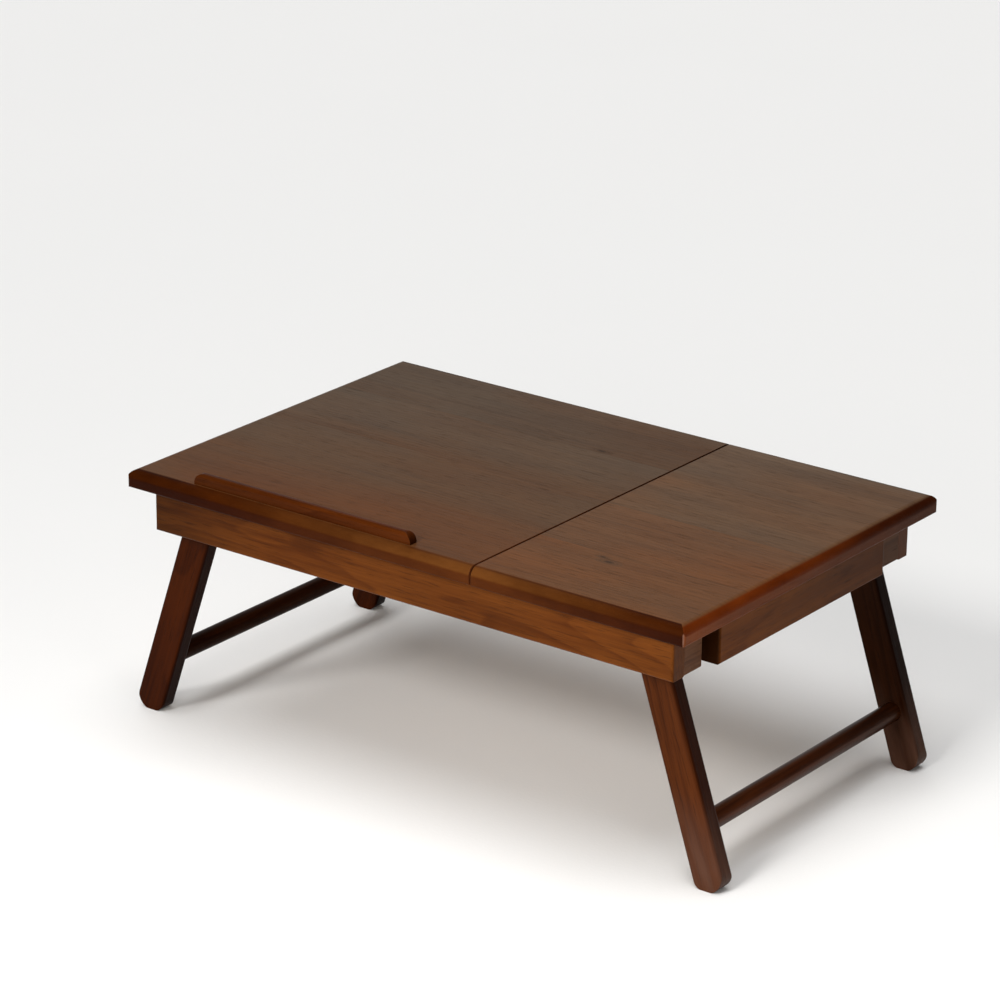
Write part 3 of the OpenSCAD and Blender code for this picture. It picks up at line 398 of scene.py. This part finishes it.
M = {
    "tilt": wood("walnut_tilt_panel", TOP_D, TOP_L, board=0.0875, seed=1.7, contrast=0.34, rough=0.40,
                 coat=0.12, knots=KNOTS, wear_and_highlight=0.1, moulded_shade=MOULD_SHADE, moulded_mid_lit=MOULD_MID_LIT, moulded_end_lit=MOULD_END_LIT, strip=STRIP, drift_and_sheen=1.0,
                  end_dark=0.0, gloss=0.04),
    "fixed": wood("walnut_fixed_panel", FIX_D, FIX_L, board=0.0875, seed=3.1, contrast=0.34, rough=0.40,
                  coat=0.12, knots=KNOTS, wear_and_highlight=0.1, moulded_shade=MOULD_SHADE, moulded_mid_lit=MOULD_MID_LIT, moulded_end_lit=MOULD_END_LIT, strip=STRIP, drift_and_sheen=1.0,
                  end_dark=0.0, gloss=0.04),
    # book stop: its end faces are darkened past the end grain as painted shade, and a painted light falloff darkens its
    # left end
    "stop": wood("walnut_book_stop", (0.040, 0.0080, 0.0008), (0.074, 0.0175, 0.0024), seed=4.4, contrast=0.5, rough=0.38,
                 coat=0.12, wear_and_highlight=0.15, gloss=0.04, end_dark=0.95, end_tone=0.42, end_pow=1.6,
                 light_falloff=[((1, 0, 0), -0.20, 0.01, 0.88, 1.22)]),
    # front rail: a painted light falloff darkens its left end
    "rail": wood("walnut_rail", RAIL_D, RAIL_L, seed=5.2, contrast=0.5, rough=0.40, coat=0.12, wear_and_highlight=0.12, mottle=0.7, gloss=0.07,
                 end_dark=0.45, light_falloff=[((1, 0, 0), -0.26, -0.10, 0.48, 1.0)]),
    "rail_b": wood("walnut_rail_back", RAIL_D, RAIL_L, seed=6.9, contrast=0.5, rough=0.40, coat=0.12, wear_and_highlight=0.12, mottle=0.7,
                   gloss=0.07, end_dark=0.55),
    "end": wood("walnut_end_rail", RAIL_D, RAIL_L, grain="Y", seed=7.7, contrast=0.5, rough=0.45, coat=0.1, gloss=0.05,
                wear_and_highlight=0.12),
    # end blocks: a painted light falloff darkens them toward the back
    "block": wood("walnut_block", (0.072, 0.0290, 0.0140), (0.152, 0.0690, 0.0330), grain="Y", seed=8.3, contrast=0.5,
                  rough=0.45, coat=0.1, gloss=0.05, wear_and_highlight=0.04, light_falloff=[((0, 1, 0), -0.14, 0.14, 1.08, 0.68)]),
    # drawer front: its end faces are darkened as painted shade, and a painted light falloff darkens it toward the back
    "drawer": wood("walnut_drawer_front", RAIL_D, RAIL_L, grain="Y", seed=9.6, contrast=0.5, rough=0.43, coat=0.1,
                   gloss=0.05, wear_and_highlight=0.05, end_dark=0.95, end_tone=0.22, end_pow=1.2, light_falloff=[((0, 1, 0), -0.115, 0.115, 0.98, 0.60)]),
    # right legs: painted shade on the side faces, and a painted light falloff toward the back
    "leg_r": wood("walnut_leg_right", LEG_D, tuple(c * 1.06 for c in LEG_L), grain="Z", tilt=-SPLAY, seed=2.3, contrast=0.4, rough=0.36, coat=0.12,
                  side_shade=0.8, gloss=0.04, light_falloff=[((0, 1, 0), -0.12, 0.12, 1.0, 0.38)],
                  foot=(0.098, 0.046, 0.030)),
    # left legs: a darker copy of the leg colours with heavier painted shade on the side faces, painted shade for light
    # falling off toward the left
    "leg_l": wood("walnut_leg_left_shaded", (0.021, 0.0032, 0.0003), (0.053, 0.0098, 0.0008), grain="Z", tilt=SPLAY, seed=2.9, contrast=0.5, rough=0.36, coat=0.12,
                  side_shade=0.92, gloss=0.035),
    # right stretcher: a painted light falloff darkens it toward the back
    "dowel": wood("walnut_stretcher", tuple(c * 0.8 for c in LEG_D), tuple(c * 0.8 for c in LEG_L), grain="Y", seed=1.1,
                  contrast=0.6, rough=0.36, coat=0.3, light_falloff=[((0, 1, 0), -0.02, 0.12, 1.0, 0.6)]),
    # left stretcher: a near-black copy of the stretcher colours, painted shade for the shadow under the top
    "dowel_l": wood("walnut_stretcher_left_shaded", tuple(c * 0.28 for c in LEG_D), tuple(c * 0.28 for c in LEG_L), grain="Y",
                    seed=1.8, contrast=0.6, rough=0.38, coat=0.1, gloss=0.04, wear_and_highlight=0.15),
    "cross": wood("stained_cross_rail", RAIL_D, RAIL_L, grain="Y", seed=3.9, rough=0.55, coat=0.0),
    "pale": wood("bare_hardwood", (0.27, 0.15, 0.070), (0.50, 0.33, 0.17), seed=5.5, contrast=0.5, rough=0.60, coat=0.0,
                 worn_and_highlight=(0.55, 0.40, 0.24), wear_and_highlight=0.3, end_dark=0.35, ring=0.006),
    "pale_y": wood("bare_hardwood_across", (0.27, 0.15, 0.070), (0.50, 0.33, 0.17), grain="Y", seed=6.1, contrast=0.5,
                   rough=0.60, coat=0.0, worn_and_highlight=(0.55, 0.40, 0.24), wear_and_highlight=0.3, end_dark=0.35, ring=0.006),
    "ply_base": plywood("plywood_base", (0.22, 0.12, 0.055), (0.42, 0.27, 0.14), 0.1905, 0.004, 0.4),
    "ply_drawer": plywood("plywood_drawer", (0.26, 0.15, 0.07), (0.50, 0.34, 0.19), 0.175, 0.003, 1.9),
    "brass": metal("brass_sheet", (0.62, 0.43, 0.17), (0.36, 0.23, 0.08), rough=0.33),
    "steel": metal("zinc_steel", (0.60, 0.60, 0.60), (0.34, 0.34, 0.35), rough=0.36, seed=0.8),
    "steel_y": metal("zinc_steel_flat", (0.58, 0.58, 0.59), (0.33, 0.33, 0.34), rough=0.38, seed=1.6, brushed="Y"),
}

FINISH = {
    "tilt_panel": "tilt", "fixed_panel": "fixed", "book_stop": "stop", "front_rail": "rail", "back_rail": "rail_b",
    "left_end_rail": "end", "end_block_front": "block", "end_block_back": "block", "drawer_front": "drawer",
    "leg_left_front": "leg_l", "leg_left_back": "leg_l", "leg_right_front": "leg_r", "leg_right_back": "leg_r",
    "stretcher_left": "dowel_l", "stretcher_right": "dowel", "cross_rail": "cross", "base_board": "ply_base",
    "drawer_bottom": "ply_drawer", "drawer_back": "pale_y", "drawer_side_front": "pale", "drawer_side_back": "pale",
    "runner_front": "pale", "runner_back": "pale", "drawer_stop": "pale_y", "rack_left": "pale_y", "rack_right": "pale_y",
    "frame_dowels": "pale_y", "panel_dowels": "pale_y", "drawer_dowels": "pale",
    "prop_arm_left": "steel_y", "prop_arm_right": "steel_y",
}
for name, obj in NODES.items():
    key = FINISH.get(name)
    if key is None:
        key = "brass" if name.startswith("hinge") and "pin" not in name else "steel"
    obj.data.materials.clear()
    obj.data.materials.append(M[key])

# ---------------------------------------------------------------- stage and light

fm = bpy.data.meshes.new("floor")
bm = bmesh.new()
bmesh.ops.create_grid(bm, x_segments=4, y_segments=4, size=9.0)
bm.to_mesh(fm)
bm.free()
floor = bpy.data.objects.new("floor", fm)
bpy.context.scene.collection.objects.link(floor)
ft = Tree("pale_floor")
ftc = ft.add("ShaderNodeTexCoord")
fn = ft.noise(ftc.outputs["Object"], 3.0, 3.0, 0.5)
fcol = ft.ramp(fn, [(0.3, (0.838, 0.838, 0.835)), (0.7, (0.842, 0.842, 0.839))])
fmat = ft.finish(fcol, ft.span(fn, 0.0, 1.0, 0.75, 0.85), ft.noise(ftc.outputs["Object"], 300.0, 2.0, 0.5), 0.0001,
                 Specular_IOR_Level=0.2)
fm.materials.append(fmat)

world = bpy.data.worlds.new("world")
bpy.context.scene.world = world
world.use_nodes = True
bg = world.node_tree.nodes["Background"]
bg.inputs["Color"].default_value = (1.0, 0.985, 0.965, 1.0)
bg.inputs["Strength"].default_value = 0.10


def area(name, loc, at, size, power, color=(1, 1, 1), size_y=None):
    d = bpy.data.lights.new(name, "AREA")
    d.energy = power
    d.size = size
    if size_y:
        d.shape = "RECTANGLE"
        d.size_y = size_y
    d.color = color
    o = bpy.data.objects.new(name, d)
    bpy.context.scene.collection.objects.link(o)
    o.location = loc
    o.rotation_euler = (Vector(at) - Vector(loc)).to_track_quat("-Z", "Y").to_euler()
    return o


def sun(name, toward, strength, angle, color=(1, 1, 1)):
    d = bpy.data.lights.new(name, "SUN")
    d.energy = strength
    d.angle = math.radians(angle)
    d.color = color
    o = bpy.data.objects.new(name, d)
    bpy.context.scene.collection.objects.link(o)
    o.rotation_euler = Vector(toward).to_track_quat("Z", "Y").to_euler()
    return o


sun("key", (-0.10, -0.80, 0.59), 0.40 * math.pi, 14.0, (1.0, 0.985, 0.96))
sun("top", (0.0, -0.05, 1.0), 0.66 * math.pi, 50.0)
sun("sheen", (-0.62, 0.68, 0.40), 0.085 * math.pi, 50.0)
area("front", (0.16, -0.85, 0.46), (0.05, -0.15, 0.15), 0.4, 3.6, (1.0, 0.975, 0.94))
area("right", (0.68, -0.52, 0.36), (0.25, -0.12, 0.17), 0.3, 1.1, (1.0, 0.975, 0.94))
